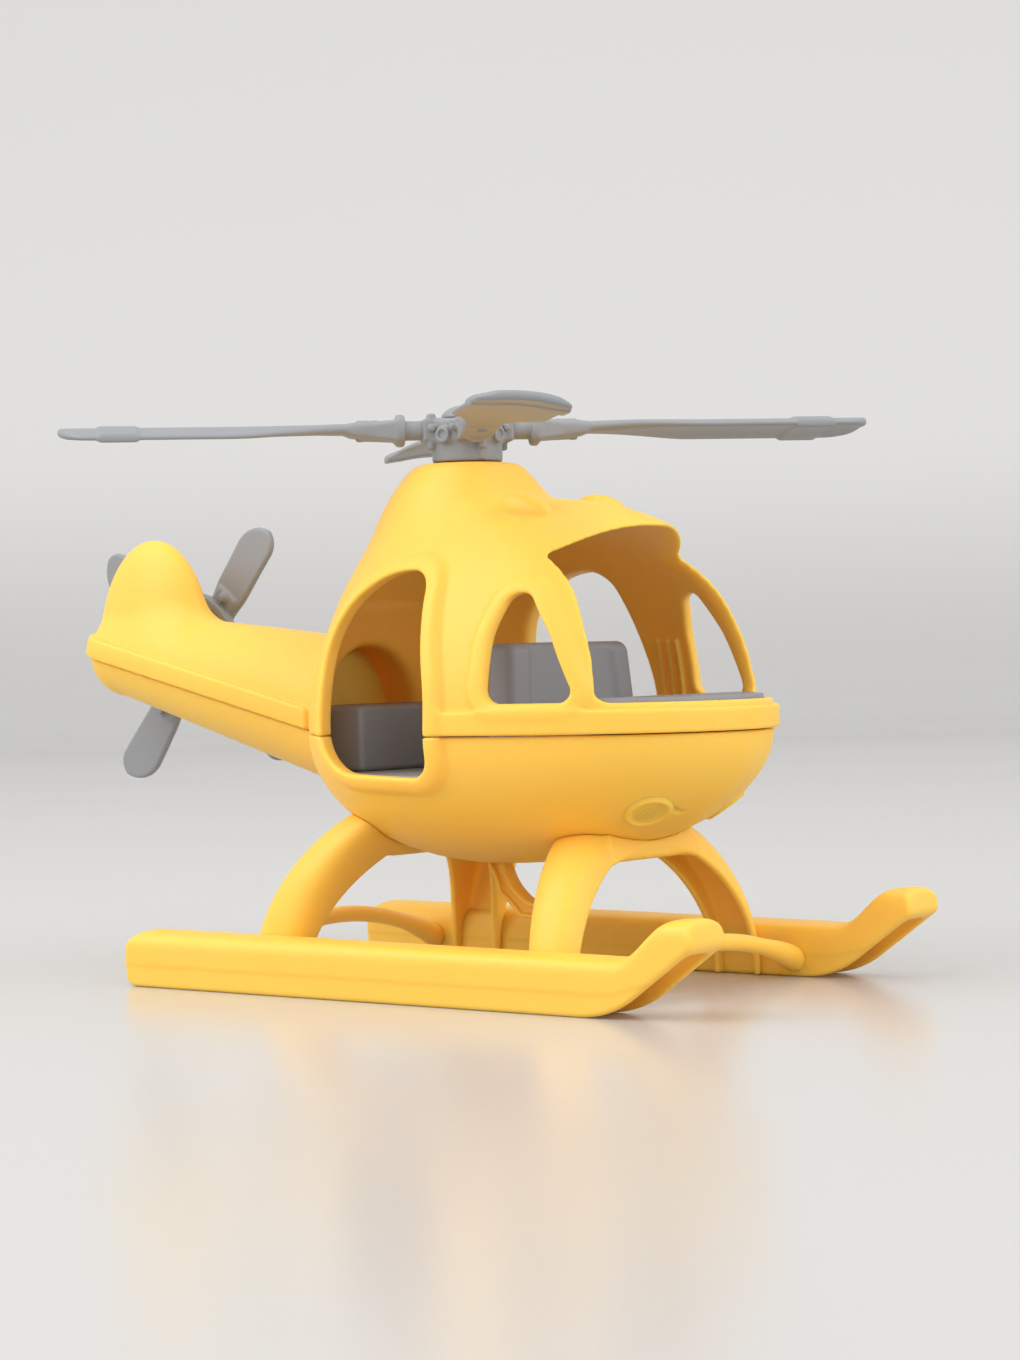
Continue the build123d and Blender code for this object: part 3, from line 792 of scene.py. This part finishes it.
blade_box = (9, -16, -7), (127, 16, 7)
pins_box = (-37, -37, 164), (37, 37, 175)
hub_box = (-17, -17, 158.5), (17, 17, 176)
blades = []
for n in range(BLADE_COUNT):
    name = f"rotor_blade_{n + 1}_moulding"
    blades.append(moulded(name, blade_field, *blade_box, 0.45, rotor_grey, False, blade_place(n)))
rotor_pins = moulded("blade_pins_moulding", pins_field, *pins_box, 0.4, rotor_grey, False)
rotor_hub = moulded("rotor_hub_moulding", hub_field, *hub_box, 0.35, rotor_grey, False)
rotor_cap = moulded("rotor_cap_dome", cap_field, (-10, -10, 172), (10, 10, 179), 0.35, rotor_grey, False)


# --- Tail rotor ---------------------------------------------------------------------------

TAIL_BLADE = rounded_outline(
    [(14, -4.4, 1), (27, -6.8, 30), (53.4, -7.6, 6.5), (53.4, 8.0, 11), (26, 6.8, 30), (14, 4.4, 1)]
)


def tail_place(degrees):
    """Puts a piece made flat, with z outwards, onto the left side of the tail."""

    def place(points):
        x, up, out = turned(points, degrees).T
        return np.stack([x + MAST_X + TAIL_X, out + TAIL_DISC_Y, up + TAIL_Z], axis=1)

    return place


def tail_hub_field(x, y, z):
    """A disc with spokes cut through it, and a raised middle."""
    radius = length(x, y)
    disc = common(radius - TAIL_DISC_RADIUS, np.abs(z - 1.5) - 1.5, 0.9)
    angle = np.arctan2(y, x)
    pitch = 2 * math.pi / TAIL_SLOTS
    sector = (np.mod(angle, pitch) - pitch / 2) * radius
    slots = block((radius - 13.6, 4.8), (sector, 1.25), corner=1)
    shape = cut(disc, slots, 0.5)
    rim = block((radius - 19.9, 1.4), (z - 1.6, 2), corner=0.8)
    shape = join(shape, rim, 0.6)
    middle = common(radius - 6.4, np.abs(z - 3.2) - 3.2, 1.2)
    return cut(join(shape, middle, 1), radius - TAIL_BORE, 0.2)


def tail_blade_field(x, y, z):
    """A flat tail blade with a boss near its root; z is measured from the disc's back."""
    twist = 0.07 * y * ease((x - 22) / 20)
    sheet = common(outline_field(TAIL_BLADE, x, y), np.abs(z - 4.3 - twist) - 1.25, 1.2)
    raised = block((x - 20.5, 5.5), (y, 4.7), (z - 4.3, 2), corner=1)
    peg = common(length(x - 24, y) - 2, np.abs(z - 4.3) - 2.9, 0.9)
    behind = common(length(x - 24, y) - 1.3, np.abs(z - 3) - 3, 0.6)
    return join(join(join(sheet, raised, 1.5), peg, 0.6), behind, 0.6)


tail_hub_box = (-23, -23, -1), (23, 23, 8)
tail_blade_box = (12, -9, -1), (56, 9, 9)
tail_hub = moulded("tail_hub_moulding", tail_hub_field, *tail_hub_box, 0.4, rotor_grey, False, tail_place(0))
tail_blades = []
for n in range(BLADE_COUNT):
    name = f"tail_blade_{n + 1}_moulding"
    place = tail_place(TAIL_PHASE + BLADE_STEP * n)
    tail_blades.append(moulded(name, tail_blade_field, *tail_blade_box, 0.4, rotor_grey, False, place))


# --- Which piece stands for which part of the frame ----------------------------------------

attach(headlights, "airframe")

for piece, node, body, slot in [
    (upper_shell, "upper_shell", "airframe", "yellow"),
    (lower_shell, "lower_shell", "airframe", "yellow"),
    (skid_right, "skid_right", "airframe", "yellow"),
    (skid_left, "skid_left", "airframe", "yellow"),
    (front_arch, "front_arch", "airframe", "yellow"),
    (rear_arch, "rear_arch", "airframe", "yellow"),
    (front_tube, "front_cross_tube", "airframe", "yellow"),
    (rear_tube, "rear_cross_tube", "airframe", "yellow"),
    (belly_hook, "belly_hook", "airframe", "yellow"),
    (cabin_floor, "cabin_floor", "airframe", "cabin_grey"),
    (front_seat, "front_seat", "airframe", "cabin_grey"),
    (rear_bench, "rear_bench", "airframe", "cabin_grey"),
    (rotor_hub, "rotor_hub", "main_rotor", "rotor_grey"),
    (rotor_cap, "rotor_cap", "main_rotor", "rotor_grey"),
    (rotor_pins, "blade_pins", "main_rotor", "rotor_grey"),
    *[(blades[n], f"rotor_blade_{n + 1}", "main_rotor", "rotor_grey") for n in range(BLADE_COUNT)],
    (tail_hub, "tail_hub", "tail_rotor", "rotor_grey"),
    *[(tail_blades[n], f"tail_blade_{n + 1}", "tail_rotor", "rotor_grey") for n in range(BLADE_COUNT)],
]:
    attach(piece, body)
    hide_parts(node)

for node, material in [
    ("gear_screws", screw_steel),
    ("mast_shaft", rotor_grey),
    ("mast_clip", rotor_grey),
    ("tail_axle", rotor_grey),
    ("tail_clip", rotor_grey),
]:
    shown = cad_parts[node]
    shown.data.materials.clear()
    shown.data.materials.append(material)


# --- Studio -------------------------------------------------------------------------------


def floor_material():
    """Pale, slightly glossy studio floor, lighter where it rises as the backdrop: painted shade on the flat
    floor and painted light on the backdrop, evening out the lamps, which light the floor more than the
    backdrop.
    """
    material = bpy.data.materials.new("pale_floor")
    material.use_nodes = True
    nodes, links = material.node_tree.nodes, material.node_tree.links
    shader = nodes["Principled BSDF"]
    coords = nodes.new("ShaderNodeTexCoord")
    haze = nodes.new("ShaderNodeTexNoise")
    haze.inputs["Scale"].default_value = 3
    links.new(coords.outputs["Object"], haze.inputs["Vector"])
    spread = nodes.new("ShaderNodeMapRange")
    spread.inputs["To Min"].default_value = 0.2
    spread.inputs["To Max"].default_value = 0.25
    links.new(haze.outputs["Fac"], spread.inputs["Value"])
    links.new(spread.outputs["Result"], shader.inputs["Roughness"])
    place = nodes.new("ShaderNodeSeparateXYZ")
    links.new(coords.outputs["Object"], place.inputs["Vector"])
    # Painted shade and light: by height, the colour runs from the darker floor to the lighter backdrop,
    # evening out the lamps' light on them
    rise = nodes.new("ShaderNodeMapRange")
    rise.inputs["From Max"].default_value = 0.4
    rise.interpolation_type = "SMOOTHSTEP"
    links.new(place.outputs["Z"], rise.inputs["Value"])
    tint = nodes.new("ShaderNodeMix")
    tint.data_type = "RGBA"
    tint.inputs["A"].default_value = (*FLOOR_COLOUR, 1)
    tint.inputs["B"].default_value = (*BACKDROP_COLOUR, 1)
    links.new(rise.outputs["Result"], tint.inputs["Factor"])
    links.new(tint.outputs["Result"], shader.inputs["Base Color"])
    shader.inputs["Specular IOR Level"].default_value = 0.5
    return material


def sweep_floor():
    """A floor that curves up into a backdrop behind the helicopter."""
    profile = [(-FLOOR_REACH, 0.0), (CURVE_START, 0.0)]
    for a in np.linspace(0.1, math.pi / 2, 14):
        profile.append((CURVE_START + CURVE_RADIUS * math.sin(a), CURVE_RADIUS - CURVE_RADIUS * math.cos(a)))
    profile.append((CURVE_START + CURVE_RADIUS, BACKDROP_TOP))
    vertices = [(side * FLOOR_REACH, along, up) for along, up in profile for side in (-1, 1)]
    faces = [(2 * i, 2 * i + 1, 2 * i + 3, 2 * i + 2) for i in range(len(profile) - 1)]
    mesh = bpy.data.meshes.new("studio_floor")
    mesh.from_pydata(vertices, [], faces)
    mesh.polygons.foreach_set("use_smooth", [True] * len(faces))
    mesh.materials.append(floor_material())
    made = bpy.data.objects.new("studio_floor", mesh)
    bpy.context.scene.collection.objects.link(made)
    made.rotation_euler.z = math.radians(BACKDROP_TURN)
    return made


def soft_light(name, azimuth, elevation, distance, size, power, colour):
    """A large area light aimed at the middle of the helicopter."""
    data = bpy.data.lights.new(name, "AREA")
    data.shape = "RECTANGLE"
    data.size = size[0]
    data.size_y = size[1]
    data.energy = power
    data.color = colour
    light = bpy.data.objects.new(name, data)
    bpy.context.scene.collection.objects.link(light)
    a, e = math.radians(azimuth), math.radians(elevation)
    away = Vector((math.sin(a) * math.cos(e), -math.cos(a) * math.cos(e), math.sin(e)))
    light.location = Vector((0, 0, AIM_HEIGHT)) + away * distance
    light.rotation_mode = "QUATERNION"
    light.rotation_quaternion = (-away).to_track_quat("-Z", "Y")
    return light


def camera():
    """The camera, level with the cabin and turned to the helicopter's right front."""
    yaw = math.radians(CAMERA_YAW)
    pitch = math.radians(CAMERA_PITCH)
    roll = math.radians(CAMERA_ROLL)
    forward = Vector((-math.sin(yaw) * math.cos(pitch), math.cos(yaw) * math.cos(pitch), math.sin(pitch)))
    level = Vector((math.cos(yaw), math.sin(yaw), 0))
    upright = level.cross(forward)
    right = math.cos(roll) * level + math.sin(roll) * upright
    up = -math.sin(roll) * level + math.cos(roll) * upright
    data = bpy.data.cameras.new("camera")
    data.lens = CAMERA_LENS
    data.sensor_width = 36
    data.clip_start = 0.05
    made = bpy.data.objects.new("camera", data)
    bpy.context.scene.collection.objects.link(made)
    turn = Matrix((right, up, -forward)).transposed().to_4x4()
    x, y, z = CAMERA_PLACE
    place = Vector(((x + MAST_X) * MM, y * MM, z * MM))
    made.matrix_world = Matrix.Translation(place) @ turn
    return made


sweep_floor()
soft_light("key_light", -28, 42, 1.6, (1.4, 1.4), 16, (1.0, 0.985, 0.96))
soft_light("fill_light", 95, 25, 2.0, (1.8, 1.8), 14, (1.0, 0.99, 0.98))
soft_light("top_light", 37, 86, 1.8, (2.0, 2.0), 1.5, (1.0, 1.0, 1.0))

world = bpy.data.worlds.new("studio")
world.use_nodes = True
world.node_tree.nodes["Background"].inputs["Color"].default_value = (*SKY_COLOUR, 1)
world.node_tree.nodes["Background"].inputs["Strength"].default_value = SKY_STRENGTH
bpy.context.scene.world = world
bpy.context.scene.view_settings.view_transform = "Standard"
bpy.context.scene.camera = camera()
